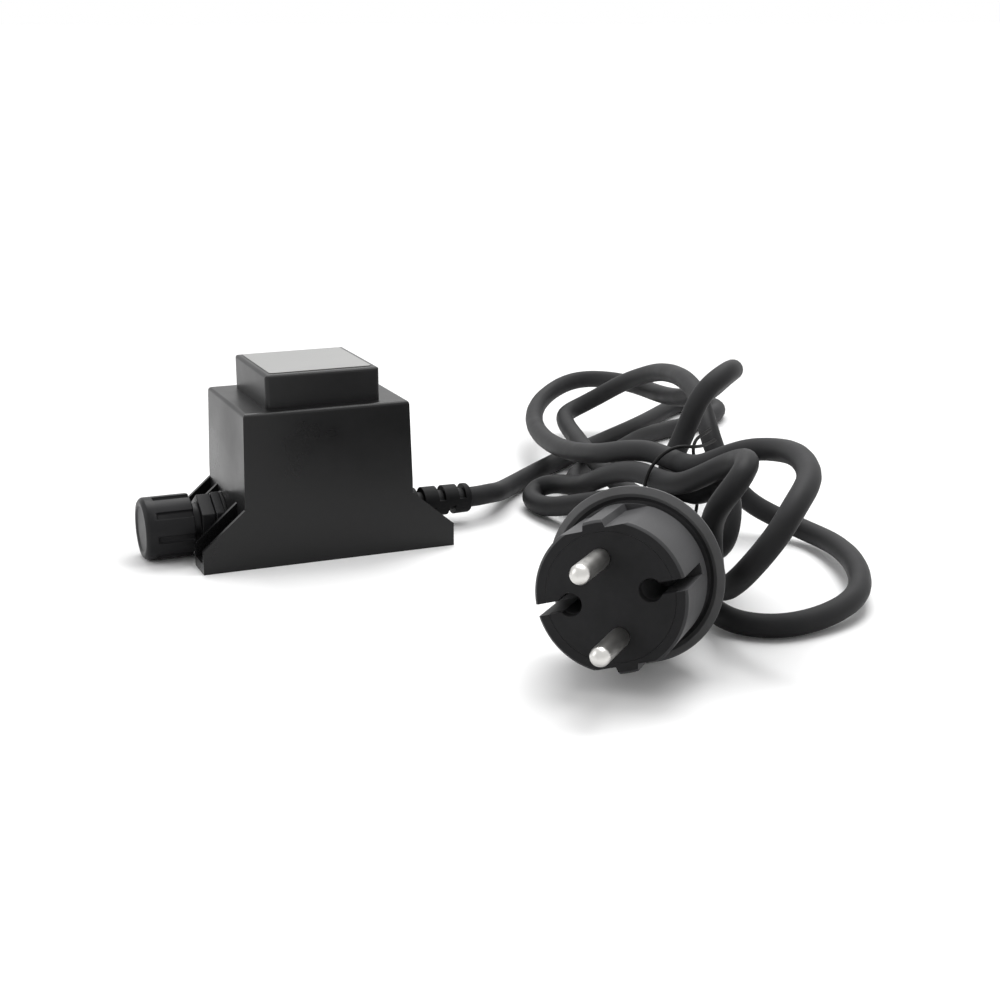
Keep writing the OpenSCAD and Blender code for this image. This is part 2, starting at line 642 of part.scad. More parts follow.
// Outline of the plug's collar, grip and sleeve, turned about its axis, from the drum backwards
module plug_body() {
    rear = -drum_l - collar_t;
    color("#2e2e30") plug_frame() difference() {
        rotate_extrude($fn = 96) polygon([[0, 0], [drum_r - face_bevel, 0], [drum_r, -face_bevel],
            [drum_r, -drum_l + lip_depth], [drum_r - lip_depth, -drum_l - lip_depth],
            [collar_r - 2 * lip_depth, -drum_l - lip_depth], [collar_r - lip_depth, -drum_l],
            [collar_r, -drum_l], [collar_r, -drum_l - collar_t / 3], [collar_r - lip_depth, rear],
            [grip_end_r * 1.6, rear - grip_l / 4], [grip_end_r, rear - grip_l],
            [sleeve_r + lip_depth, rear - grip_l - lip_depth], [sleeve_r, -plug_len], [0, -plug_len]]);
        translate([0, 0, -face_t]) cylinder(h = face_t + cut, r = face_r, $fn = 96);
        for (side = [0, 1]) for (half = [0, 1])
            mirror([side, 0, 0]) mirror([0, half, 0]) translate([0, 0, -drum_l + lip_depth])
                linear_extrude(drum_l) polygon([[flat_r, rib_w / 2], [drum_r + cut, rib_top_w / 2],
                    [drum_r + cut, drum_r], [flat_r, drum_r]]);
        keyholes(drum_r + cut);
        for (x = [-prong_pitch / 2, prong_pitch / 2])
            translate([x, 0, -prong_root]) cylinder(h = prong_root, d = prong_neck_d, $fn = 32);
        for (x = [-prong_pitch / 2, prong_pitch / 2])
            translate([x, 0, -prong_root - crimp_l]) cylinder(h = crimp_l, d = crimp_d, $fn = 32);
    }
}

module keyholes(reach) {
    for (side = [-1, 1]) {
        translate([0, side * keyhole_r, -keyhole_depth]) cylinder(h = keyhole_depth + cut, d = keyhole_d, $fn = 48);
        translate([-keyhole_slot / 2, side > 0 ? keyhole_r : -reach, -keyhole_depth])
            cube([keyhole_slot, reach - keyhole_r, keyhole_depth + cut]);
    }
}

module plug_face() {
    color("#242426") plug_frame() difference() {
        translate([0, 0, -face_t]) cylinder(h = face_t, r = face_r, $fn = 96);
        keyholes(drum_r);
        for (x = [-prong_pitch / 2, prong_pitch / 2])
            translate([x, 0, -face_t - cut]) cylinder(h = face_t + 2 * cut, d = prong_neck_d, $fn = 32);
    }
}

module plug_pins() {
    color("#d6d6d4") plug_frame() for (x = [-prong_pitch / 2, prong_pitch / 2])
        translate([x, 0, -prong_root]) {
            cylinder(h = prong_root + prong_step, d = prong_neck_d, $fn = 32);
            translate([0, 0, prong_root + prong_step])
                cylinder(h = prong_l - prong_step - prong_d / 2, d = prong_d, $fn = 32);
            translate([0, 0, prong_root + prong_l - prong_d / 2]) sphere(d = prong_d, $fn = 32);
        }
}

module pin_crimps() {
    color("#b9a15a") plug_frame() for (x = [-prong_pitch / 2, prong_pitch / 2])
        translate([x, 0, -prong_root - crimp_l]) cylinder(h = crimp_l, d = crimp_d, $fn = 32);
}

// Where strand k passes the tie, at the given distance along Y from its middle
function pass(k, y) = [waist.x + strands[k].x, waist.y + y, strands[k].y];
function inward(k) = [pass(k, strand_run), pass(k, -strand_run)];
function outward(k) = [pass(k, -strand_run), pass(k, strand_run)];

relief_exit = [[relief_end_x, 0, relief_z], [relief_end_x + cord_d / 2, 0, relief_z]];
lead_path = spline(concat(relief_exit, moved(lead_points), [pass(0, strand_run), pass(0, 0)]), 2);
hank_path = spline(concat([pass(0, 0), pass(0, -strand_run)], moved(loop_f), moved(loop_b), inward(1),
    moved(loop_g), outward(2), moved(loop_c), moved(loop_a), inward(3), moved(loop_d), outward(4),
    moved(loop_e), [pass(5, strand_run), pass(5, 0)]), 3);
tail_path = spline(concat([pass(5, 0), pass(5, -strand_run)], moved(tail_points),
    [plug_tail - 2 * cord_d * plug_axis, plug_tail - cord_d * plug_axis, plug_tail]), 3);
echo(lead_mm = path_length(lead_path), hank_mm = path_length(hank_path), tail_mm = path_length(tail_path));
echo(least_gap_mm = least_gap(hank_path, 8, cord_d));

module cord_lead() {
    color("#1f1f21") tube(lead_path, cord_d, 8);
}
module cord_hank() {
    color("#1f1f21") tube(hank_path, cord_d, 6);
}
module cord_tail() {
    color("#1f1f21") tube(tail_path, cord_d, 8);
}

module tie_wire() {
    color("#141414") tube(spline(moved(tie_points), 4), tie_d, 6);
}

housing();
label_plate();
sealing_compound();
core_e();
core_i();
bobbin();
primary_winding();
secondary_winding();
winding_tape();
thermal_fuse();
terminal_pins();
live_wire();
neutral_wire();
output_wire_a();
output_wire_b();
outlet_gasket();
lock_nut();
outlet_body();
contact_carrier();
outlet_contacts();
cap_seal();
screw_cap();
strain_relief();
cord_end();
cord_lead();
cord_hank();
cord_tail();
tie_wire();
plug_body();
plug_face();
plug_pins();
pin_crimps();
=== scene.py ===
"""Looks of the lighting power supply: camera, cord, dressed pieces, materials, floor and light.

Lengths are in millimetres where a name or comment says so and are turned into metres by MM.
"""
import math

import bmesh
import bpy
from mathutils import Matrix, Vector


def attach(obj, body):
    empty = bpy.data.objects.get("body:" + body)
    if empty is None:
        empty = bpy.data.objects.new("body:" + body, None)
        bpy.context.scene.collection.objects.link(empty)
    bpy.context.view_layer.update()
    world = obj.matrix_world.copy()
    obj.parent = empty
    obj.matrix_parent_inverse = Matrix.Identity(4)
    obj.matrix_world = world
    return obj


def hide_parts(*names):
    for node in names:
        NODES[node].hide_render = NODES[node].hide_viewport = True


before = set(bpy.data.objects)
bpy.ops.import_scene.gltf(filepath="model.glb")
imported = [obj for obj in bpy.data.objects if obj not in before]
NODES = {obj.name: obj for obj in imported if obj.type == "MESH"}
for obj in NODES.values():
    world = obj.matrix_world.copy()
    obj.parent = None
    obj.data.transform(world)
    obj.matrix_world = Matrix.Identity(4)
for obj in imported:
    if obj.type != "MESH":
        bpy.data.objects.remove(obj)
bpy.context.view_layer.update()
MM = 0.001
UNIT, CAP = "unit", "cap"

# Camera at the photograph's place, fitted to the plug's pins and the housing's edges
CAMERA_AT = (-0.1403, -0.4829, 0.1529)
CAMERA_TILT, CAMERA_TURN = 74.31, -22.73
CAMERA_LENS, CAMERA_SENSOR = 62.06, 36
CAMERA_REACH = 100

camera_data = bpy.data.cameras.new("camera")
camera_data.lens = CAMERA_LENS
camera_data.sensor_width = CAMERA_SENSOR
camera_data.clip_end = CAMERA_REACH
camera = bpy.data.objects.new("camera", camera_data)
camera.location = CAMERA_AT
camera.rotation_euler = (math.radians(CAMERA_TILT), 0, math.radians(CAMERA_TURN))
bpy.context.scene.collection.objects.link(camera)
bpy.context.scene.camera = camera
bpy.context.scene.view_settings.view_transform = "Standard"

# Route of the cord, in millimetres: the same points as in the CAD source.
# STRANDS holds the six strands under the tie, sideways of WAIST and above the floor.
WAIST = (88, -64)
STRANDS = [(-3.6, 11.6), (3.6, 14), (4, 22), (2.4, 30.4), (-4, 26), (-3.8, 18.8)]
RUN = 8
CORD_D = 6.3
RELIEF_END, RELIEF_Z = 51.2, 8
LEAD = [(59, 1.5, 8), (64, 6.5, 6.6), (70, 16, 4.4), (77, 24, 3.5), (86, 32, 3.4),
        (97, 41.5, 3.4), (110, 52, 3.4), (124, 62, 3.4), (140, 74, 3.4), (156, 86, 3.4),
        (171, 99, 3.4), (181, 108, 3.4), (190, 112, 3.4), (197, 109, 3.4), (198, 100, 3.4),
        (192, 91, 3.4), (184, 84, 3.4), (173, 78, 3.4), (160, 74, 3.4), (147, 68, 3.4),
        (135, 57, 3.4), (118, 42, 3.4), (104, 31, 3.4), (95, 18, 3.4), (91, 2, 3.4),
        (89, -18, 3.4), (87, -38, 5.5)]
LOOP_F = [(83, -84, 9), (79, -97, 5), (75, -110, 4), (75, -122, 3.4), (84, -130, 3.4),
          (97, -129, 3.6), (109, -125, 5), (118, -117, 6), (125, -104, 7), (131, -90, 6),
          (135, -76, 5), (136, -62, 4), (131, -52, 6.5), (123, -49, 11)]
LOOP_B = [(117, -48, 18), (115, -42, 25.5), (117, -33, 32), (121, -22, 36), (126, -8, 38),
          (131, 8, 38), (136, 26, 36), (140, 43, 33), (142, 60, 28), (141, 73, 23),
          (138, 83, 17), (131, 88, 12), (124, 86, 10.3), (119, 75, 10.2), (115, 62, 10.2),
          (112, 50, 10.2), (108, 36, 10.2), (104, 18, 10.2), (99, -4, 10.5), (94, -26, 11.5),
          (92, -44, 13.4)]
LOOP_G = [(90, -82, 10.5), (87.5, -91, 12), (87, -97, 16.5), (89, -96, 22), (93, -89, 26),
          (96, -81, 27), (95.5, -75, 25.5)]
LOOP_C = [(94, -50, 24), (99, -47, 29.5), (102, -48, 37), (103, -50, 43), (107, -50, 48.5),
          (114, -48, 51.5), (121, -41, 51), (126, -31, 48), (130, -18, 42.5)]
LOOP_A = [(135, -2, 35), (139, 15, 29.5), (143, 32, 25.5), (147, 48, 22.5), (150, 64, 20.5),
          (151, 80, 20), (148, 96, 19.5), (138, 105, 19), (126, 101, 16.5), (114, 90, 13.5),
          (104, 70, 12), (97, 46, 12.5), (92, 22, 15), (88, -2, 19), (87, -22, 23.5),
          (87.4, -36, 28), (88.8, -48, 30.4)]
LOOP_D = [(93, -80, 34.5), (99, -87, 39), (102, -98, 41), (99.5, -110.5, 43),
          (95, -122.5, 43.5), (88.5, -135, 43), (79.5, -143, 40.5), (73, -146, 34),
          (69, -141, 25), (70, -131, 17), (72, -121, 12), (75, -112, 12), (77.5, -106, 18),
          (76, -108, 26), (75, -114, 33), (78, -118, 39.5), (84, -113, 43), (90, -100, 40),
          (90, -89, 35.5), (86.5, -80, 29.5)]
LOOP_E = [(84, -44, 24), (84, -30, 19), (84.5, -16, 12.5), (85, -3, 9), (84, 6, 7.6),
          (80.5, 11, 5.6), (76, 8.5, 3.7), (74, 0, 3.4), (74.5, -10, 4.6), (77.5, -22, 8.4),
          (81, -34, 12.4), (84, -46, 16.2)]
TAIL = [(83, -79, 18.6)]
TIE = [(106, -57, 34), (102, -60, 33.8), (98, -63, 34.2), (93.5, -65.5, 35), (90, -65, 35.6),
       (86, -64.5, 34.4), (82, -64, 31), (79.4, -64, 26), (79.4, -64, 18), (79.8, -64, 11),
       (82, -64, 7), (87, -64, 6.4), (92.5, -64, 8.6), (96.2, -64, 12.5), (96.9, -64, 18),
       (96.9, -64, 24), (96.4, -63.5, 29), (95.6, -62, 33.2), (98, -60, 36),
       (102, -57.5, 36.2), (106, -54, 36.4)]
TIE_D = 1.0

# The plug: where the middle of its face is, and the way its pins point
PLUG_HEADING, PLUG_TILT = math.radians(-131.8), math.radians(4.2)
PLUG_XY = (28.6, -145.4)
COLLAR_R, DRUM_L, PLUG_LEN, REST = 22.1, 22.1, 63.6, 0.05
PLUG_AXIS = Vector((math.cos(PLUG_TILT) * math.cos(PLUG_HEADING),
                    math.cos(PLUG_TILT) * math.sin(PLUG_HEADING), math.sin(PLUG_TILT)))
PLUG_AT = Vector((*PLUG_XY, COLLAR_R * math.cos(PLUG_TILT) + DRUM_L * math.sin(PLUG_TILT) + REST))
PLUG_TAIL = PLUG_AT - PLUG_LEN * PLUG_AXIS


def strand(k, y):
    return (WAIST[0] + STRANDS[k][0], WAIST[1] + y, STRANDS[k][1])


def inward(k):
    return [strand(k, RUN), strand(k, -RUN)]


def outward(k):
    return [strand(k, -RUN), strand(k, RUN)]


def spline(points, steps):
    """Uniform cubic B-spline that starts and ends at its first and last point."""
    p = [Vector(q) for q in points]
    q = [2 * p[0] - p[1], *p, 2 * p[-1] - p[-2]]
    out = []
    for i in range(len(p) - 1):
        for k in range(steps):
            t = k / steps
            out.append(((1 - t) ** 3 * q[i] + (3 * t ** 3 - 6 * t * t + 4) * q[i + 1]
                        + (3 * t + 3 * t * t - 3 * t ** 3 + 1) * q[i + 2] + t ** 3 * q[i + 3]) / 6)
    return out + [p[-1]]


def link(obj):
    bpy.context.scene.collection.objects.link(obj)
    return obj


def tube(name, points, diameter, sides):
    """A round tube along points given in millimetres, as a curve of one open spline."""
    data = bpy.data.curves.new(name, "CURVE")
    data.dimensions = "3D"
    data.bevel_depth = diameter / 2 * MM
    data.bevel_resolution = sides
    data.use_fill_caps = True
    s = data.splines.new("POLY")
    s.points.add(len(points) - 1)
    for i, p in enumerate(points):
        s.points[i].co = (p[0] * MM, p[1] * MM, p[2] * MM, 1)
    s.use_smooth = True
    return link(bpy.data.objects.new(name, data))


CORD_STEPS, CORD_SIDES = 7, 7
TIE_STEPS, TIE_SIDES = 6, 4
relief_exit = [(RELIEF_END, 0, RELIEF_Z), (RELIEF_END + CORD_D / 2, 0, RELIEF_Z)]
lead_path = spline(relief_exit + LEAD + [strand(0, RUN), strand(0, 0)], CORD_STEPS)
hank_path = spline([strand(0, 0), strand(0, -RUN)] + LOOP_F + LOOP_B + inward(1) + LOOP_G
                   + outward(2) + LOOP_C + LOOP_A + inward(3) + LOOP_D + outward(4) + LOOP_E
                   + [strand(5, RUN), strand(5, 0)], CORD_STEPS)
tail_path = spline([strand(5, 0), strand(5, -RUN)] + TAIL
                   + [tuple(PLUG_TAIL - k * CORD_D * PLUG_AXIS) for k in (2, 1, 0)], CORD_STEPS)
cord_path = lead_path + hank_path[1:] + tail_path[1:]
mains_cord = tube("mains_cord", cord_path, CORD_D, CORD_SIDES)


def map_range(nodes, links, value, source, target, smooth=False):
    """A node that takes a socket's values from one range of numbers to another."""
    m = nodes.new("ShaderNodeMapRange")
    if smooth:
        m.interpolation_type = "SMOOTHSTEP"
    m.inputs["From Min"].default_value, m.inputs["From Max"].default_value = source
    m.inputs["To Min"].default_value, m.inputs["To Max"].default_value = target
    links.new(value, m.inputs["Value"])
    return m.outputs[0]


def highest(nodes, links, first, second):
    """A node that gives the higher of two sockets."""
    m = nodes.new("ShaderNodeMath")
    m.operation = "MAXIMUM"
    links.new(first, m.inputs[0])
    links.new(second, m.inputs[1])
    return m.outputs[0]


# Materials: every one is procedural, in object coordinates in metres.
# Noise stays mostly within NOISE. A grain is (scale, strength), a blotch (scale, share of colour).
NOISE = (0.3, 0.7)
FINE_DETAIL, BROAD_DETAIL = 3, 5


def material(name, color, rough, metal=0.0, grain=(3000, 0.25), blotch=(60, 0.25),
             rough_spread=0.08, specular=0.5, bump=0.00004, coat=0.0):
    m = bpy.data.materials.new(name)
    m.use_nodes = True
    n, l = m.node_tree.nodes, m.node_tree.links
    n.clear()
    out = n.new("ShaderNodeOutputMaterial")
    s = n.new("ShaderNodeBsdfPrincipled")
    l.new(s.outputs[0], out.inputs[0])
    s.inputs["Metallic"].default_value = metal
    s.inputs["Specular IOR Level"].default_value = specular
    s.inputs["Coat Weight"].default_value = coat
    where = n.new("ShaderNodeTexCoord")
    fine = n.new("ShaderNodeTexNoise")
    fine.inputs["Scale"].default_value = grain[0]
    fine.inputs["Detail"].default_value = FINE_DETAIL
    broad = n.new("ShaderNodeTexNoise")
    broad.inputs["Scale"].default_value = blotch[0]
    broad.inputs["Detail"].default_value = BROAD_DETAIL
    for t in (fine, broad):
        l.new(where.outputs["Object"], t.inputs["Vector"])
    shade = map_range(n, l, broad.outputs["Fac"], NOISE, (1 - blotch[1], 1 + blotch[1]))
    tint = n.new("ShaderNodeVectorMath")
    tint.operation = "SCALE"
    tint.inputs[0].default_value = color
    l.new(shade, tint.inputs["Scale"])
    l.new(tint.outputs[0], s.inputs["Base Color"])
    wear = map_range(n, l, broad.outputs["Fac"], NOISE,
                     (rough - rough_spread, rough + rough_spread))
    l.new(wear, s.inputs["Roughness"])
    dent = n.new("ShaderNodeBump")
    dent.inputs["Strength"].default_value = grain[1]
    dent.inputs["Distance"].default_value = bump
    l.new(fine.outputs["Fac"], dent.inputs["Height"])
    l.new(dent.outputs[0], s.inputs["Normal"])
    return m


# Spacing of a wave texture's bands at scale 1, and sockets of a Mix node that mixes colours
BAND_PERIOD = 0.314159
MIX_FACTOR, MIX_FIRST, MIX_SECOND, MIX_RESULT = 0, 6, 7, 2
BAND_WAVER, BAND_BUMP = 0.3, 0.00005


def banded(name, color, dark, rough, pitch_mm, direction):
    """A metal with fine parallel lines, for laminations and wound wire."""
    m = material(name, color, rough, 1.0)
    n, l = m.node_tree.nodes, m.node_tree.links
    s = next(x for x in n if x.type == "BSDF_PRINCIPLED")
    where = next(x for x in n if x.type == "TEX_COORD")
    wave = n.new("ShaderNodeTexWave")
    wave.wave_type = "BANDS"
    wave.bands_direction = direction
    wave.inputs["Scale"].default_value = BAND_PERIOD / (pitch_mm * MM)
    wave.inputs["Distortion"].default_value = BAND_WAVER
    l.new(where.outputs["Object"], wave.inputs["Vector"])
    mix = n.new("ShaderNodeMix")
    mix.data_type = "RGBA"
    mix.inputs[MIX_FIRST].default_value = (*dark, 1)
    mix.inputs[MIX_SECOND].default_value = (*color, 1)
    l.new(wave.outputs["Fac"], mix.inputs[MIX_FACTOR])
    l.new(mix.outputs[MIX_RESULT], s.inputs["Base Color"])
    dent = n.new("ShaderNodeBump")
    dent.inputs["Distance"].default_value = BAND_BUMP
    l.new(wave.outputs["Fac"], dent.inputs["Height"])
    l.new(dent.outputs[0], s.inputs["Normal"])
    return m


HOUSING = material("housing_plastic", (0.008, 0.008, 0.0084), 0.33,
                   grain=(2600, 0.35), blotch=(35, 0.25), specular=0.3)
FITTING = material("fitting_plastic", (0.014, 0.014, 0.015), 0.4, grain=(2200, 0.3), specular=0.2)
CAP_PLASTIC = material("cap_plastic", (0.014, 0.014, 0.015), 0.38, grain=(2400, 0.3), specular=0.14)
CORD_RUBBER = material("cord_rubber", (0.028, 0.028, 0.029), 0.55,
                       grain=(1800, 0.35), blotch=(90, 0.18), specular=0.1)
PLUG_RUBBER = material("plug_rubber", (0.056, 0.056, 0.058), 0.5,
                       grain=(2000, 0.35), blotch=(70, 0.15), specular=0.2)
# A paler copy of the plug's rubber for the collar's rim: painted highlight where its rounded edge
# catches the light
RIM_PAINTED_HIGHLIGHT = material("rim_rubber_painted_highlight", (0.16, 0.16, 0.162), 0.5,
                      grain=(2000, 0.35), blotch=(70, 0.15), specular=0.3)
FACE_PLASTIC = material("face_plastic", (0.023, 0.023, 0.024), 0.55,
                        grain=(1500, 0.5), blotch=(150, 0.22), specular=0.12)
RELIEF_RUBBER = material("relief_rubber", (0.007, 0.007, 0.0075), 0.5,
                         grain=(2000, 0.3), specular=0.1)
SEAL_RUBBER = material("seal_rubber", (0.018, 0.018, 0.018), 0.6, grain=(1800, 0.3), specular=0.2)
PIN_METAL = material("pin_nickel", (0.60, 0.59, 0.57), 0.33, metal=1.0,
                     grain=(900, 0.05), blotch=(200, 0.04), rough_spread=0.03)
CRIMP_METAL = material("crimp_brass", (0.70, 0.56, 0.28), 0.3, metal=1.0)
CONTACT_METAL = material("contact_brass", (0.75, 0.62, 0.33), 0.25, metal=1.0)
TERMINAL_METAL = material("terminal_tin", (0.68, 0.66, 0.62), 0.3, metal=1.0)
LABEL_FILM = material("label_film", (0.34, 0.34, 0.336), 0.6,
                      grain=(1200, 0.15), blotch=(45, 0.05), specular=0.15, bump=0.00002)
RESIN = material("potting_resin", (0.055, 0.047, 0.04), 0.5,
                 grain=(700, 0.6), blotch=(50, 0.3), bump=0.0002)
BOBBIN_NYLON = material("bobbin_nylon", (0.62, 0.57, 0.46), 0.45, grain=(1500, 0.3))
TIE_PLASTIC = material("tie_plastic", (0.005, 0.005, 0.005), 0.55, grain=(1800, 0.3), specular=0.15)
TAPE_FILM = material("tape_film", (0.66, 0.48, 0.08), 0.25, grain=(900, 0.25), coat=0.3)
FUSE_CAN = material("fuse_can", (0.62, 0.62, 0.60), 0.28, metal=1.0)
CARRIER_PLASTIC = material("carrier_plastic", (0.20, 0.20, 0.19), 0.45)
BROWN_WIRE = material("brown_insulation", (0.17, 0.06, 0.02), 0.4)
BLUE_WIRE = material("blue_insulation", (0.03, 0.10, 0.38), 0.4)
RED_WIRE = material("red_insulation", (0.40, 0.025, 0.015), 0.4)
BLACK_WIRE = material("black_insulation", (0.02, 0.02, 0.02), 0.4)
LAMINATION = banded("lamination_steel", (0.34, 0.35, 0.37), (0.10, 0.10, 0.11), 0.42, 0.5, "Z")
PRIMARY_WIRE = banded("primary_copper", (0.58, 0.22, 0.08), (0.20, 0.07, 0.03), 0.32, 0.3, "Y")
SECONDARY_WIRE = banded("secondary_copper", (0.66, 0.29, 0.12), (0.24, 0.09, 0.04), 0.32, 0.8, "Y")


def give(obj, m):
    """Puts one material on every slot of a piece."""
    data = obj.data
    if len(data.materials) == 0:
        data.materials.append(m)
    for i in range(len(data.materials)):
        data.materials[i] = m
    for s in obj.material_slots:
        s.material = m
    return obj


def settle(obj, body, m, node):
    """Finishes a new piece that stands for one CAD node: material, slot and body."""
    give(obj, m)
    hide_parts(node)
    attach(obj, body)
    return obj


SHARP, FLAT = math.radians(32), math.radians(0.4)
WELD = 1e-7


def even_shading(obj):
    """Shades the large faces of a smooth piece flat and its small ones round."""
    normals = obj.modifiers.new("normals", "WEIGHTED_NORMAL")
    normals.keep_sharp = True
    return obj


def soften(obj, width_mm, segments):
    """Rounds the sharp edges of a piece and evens its shading."""
    bevel = obj.modifiers.new("edges", "BEVEL")
    bevel.width = width_mm * MM
    bevel.segments = segments
    bevel.limit_method = "ANGLE"
    bevel.angle_limit = SHARP
    bevel.use_clamp_overlap = True
    bevel.harden_normals = False
    return even_shading(obj)


def clean_copy(node, name):
    """A new mesh with the shape of a CAD node, its flat faces joined and its shading smooth."""
    mesh = bpy.data.meshes.new(name)
    bm = bmesh.new()
    bm.from_mesh(NODES[node].data)
    bmesh.ops.remove_doubles(bm, verts=bm.verts, dist=WELD)
    bmesh.ops.dissolve_limit(bm, angle_limit=FLAT, verts=bm.verts, edges=bm.edges)
    bm.normal_update()
    for f in bm.faces:
        f.smooth = True
    bm.to_mesh(mesh)
    bm.free()
    return link(bpy.data.objects.new(name, mesh))


def dress(node, name, m, width_mm, segments=2):
    """A CAD node of the unit taken over as a new piece with rounded edges."""
    obj = soften(clean_copy(node, name), width_mm, segments)
    return settle(obj, UNIT, m, node)


def on_plug(point):
    """How far in front of the plug's face a point lies, and how far from the plug's axis."""
    from_face = point - PLUG_AT * MM
    ahead = from_face.dot(PLUG_AXIS)
    return ahead, (from_face - ahead * PLUG_AXIS).length


# The cord and what is on it
give(mains_cord, CORD_RUBBER)
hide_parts("cord_lead", "cord_hank", "cord_tail")
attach(mains_cord, UNIT)
tie = tube("tie_loop", spline(TIE, TIE_STEPS), TIE_D, TIE_SIDES)
settle(tie, UNIT, TIE_PLASTIC, "tie_wire")
plug_shell = dress("plug_body", "plug_shell", PLUG_RUBBER, 0.45, segments=3)

# The rim of the collar slopes back towards its outer edge, by RIM_SLOPE millimetres
RIM_SLOPE, RIM_AHEAD, RIM_EDGE = 1.0, 0.1, 0.2
for v in plug_shell.data.vertices:
    ahead, radius = on_plug(v.co)
    if abs(ahead + DRUM_L * MM) < RIM_AHEAD * MM and radius > (COLLAR_R - RIM_EDGE) * MM:
        v.co -= RIM_SLOPE * MM * PLUG_AXIS

# The front of the drum is as dark as the face plate set in it, and the collar's rim is paler: a
# painted highlight
FACE_DEPTH, RIM_W = 1, 3
FORWARD, NOT_BACK = 0.9, -0.3
FACE_SLOT, PAINTED_RIM_SLOT = 1, 2
plug_shell.data.materials.append(FACE_PLASTIC)
plug_shell.data.materials.append(RIM_PAINTED_HIGHLIGHT)
for f in plug_shell.data.polygons:
    places = [on_plug(plug_shell.data.vertices[i].co) for i in f.vertices]
    facing = f.normal.dot(PLUG_AXIS)
    if facing > FORWARD and min(p[0] for p in places) > -FACE_DEPTH * MM:
        f.material_index = FACE_SLOT
    elif facing > NOT_BACK and min(p[1] for p in places) > (COLLAR_R - RIM_W) * MM:
        f.material_index = PAINTED_RIM_SLOT
plug_plate = dress("plug_face", "plug_plate", FACE_PLASTIC, 0.12)

# The unit
housing_shell = dress("housing", "housing_shell", HOUSING, 0.3, segments=3)

# The walls of the feet run into the box's slightly sloping faces without a step
WALL_X, WALL_TOP, WALL_Y, NEAR = 23.4, 17.6, 21.2, 0.01
bm = bmesh.new()
bm.from_mesh(housing_shell.data)
corners = [v for v in bm.verts if abs(abs(v.co.x) - WALL_X * MM) < NEAR * MM
           and abs(v.co.z - WALL_TOP * MM) < NEAR * MM and abs(v.co.y) > WALL_Y * MM]
inmost = min(abs(v.co.y) for v in corners)
for v in corners:
    v.co.y = math.copysign(inmost, v.co.y)
bmesh.ops.remove_doubles(bm, verts=corners, dist=NEAR * MM)
bm.to_mesh(housing_shell.data)
bm.free()

dress("label_plate", "label_blank", LABEL_FILM, 0.08)
dress("lock_nut", "locking_nut", FITTING, 0.4)
dress("outlet_body", "outlet_shell", FITTING, 0.35)
dress("outlet_gasket", "gasket_ring", SEAL_RUBBER, 0.2)
dress("strain_relief", "relief_boot", RELIEF_RUBBER, 0.28, segments=3)

# The cap: a lathed body with grip recesses that are open towards its mouth. Lengths and radii
# are in millimetres, angles in degrees. A recess reaches GRIP_HALF to both sides of its middle,
# and its walls are GRIP_WALL wide.
CAP_END, CAP_L, CAP_R, CAP_Z = -51.2, 14.3, 9.2, 9.3
CAP_MOUTH_R, CAP_MOUTH_AT, CAP_BORE_R, CAP_FLOOR_AT = 6.9, 12.3, 5.45, 4.7
GRIPS, GRIP_PHASE, GRIP_DEPTH, GRIP_START = 8, 0.2, 0.8, 3.6
GRIP_HALF, GRIP_WALL, GRIP_FLANK, GRIP_MID = 7.2, 0.7, 0.1, 3.5
GRIP_ABOVE, LAND_STEPS = 8, 8
# Stations: distance from the cap's end, radius, and how deep the recess is there
CAP_STATIONS = [
    (0.45, 0.0, 0), (0.45, 6.2, 0), (0.38, 6.6, 0), (0.06, 7.0, 0), (0.0, 7.3, 0), (0.0, 8.0, 0),
    (0.08, 8.3, 0), (0.45, 8.75, 0), (0.9, 9.1, 0), (1.2, CAP_R, 0), (2.4, CAP_R, 0),
    (GRIP_START - 0.25, CAP_R, 0), (GRIP_START + 0.05, CAP_R - 0.03, 0.25),
    (GRIP_START + 0.35, CAP_R, 1), (7, CAP_R, 1), (11, CAP_R, 1),
    (13.9, CAP_R, 1), (14.2, 9.1, 1), (CAP_L, 8.9, 1), (CAP_L, 7.1, 0), (14.1, CAP_MOUTH_R, 0),
    (CAP_MOUTH_AT, CAP_MOUTH_R, 0), (CAP_MOUTH_AT, CAP_BORE_R, 0),
    (CAP_FLOOR_AT, CAP_BORE_R, 0), (CAP_FLOOR_AT, 0.0, 0)]


def cap_columns():
    """Angles round the cap, each with whether it lies in a recess."""
    columns = []
    pitch = 360 / GRIPS
    for i in range(GRIPS):
        centre = pitch * (i + GRIP_PHASE)
        for off in (-GRIP_HALF - GRIP_WALL, -GRIP_HALF - GRIP_FLANK, -GRIP_HALF + GRIP_WALL,
                    -GRIP_MID, 0, GRIP_MID,
                    GRIP_HALF - GRIP_WALL, GRIP_HALF + GRIP_FLANK, GRIP_HALF + GRIP_WALL):
            columns.append((centre + off, abs(off) < GRIP_HALF))
        land = pitch - 2 * GRIP_HALF
        for k in range(1, LAND_STEPS):
            columns.append((centre + GRIP_HALF + land * k / LAND_STEPS, False))
    return columns


def cap_point(s, r, angle):
    a = math.radians(angle)
    return (CAP_END + s) * MM, -r * math.sin(a) * MM, (CAP_Z + r * math.cos(a)) * MM


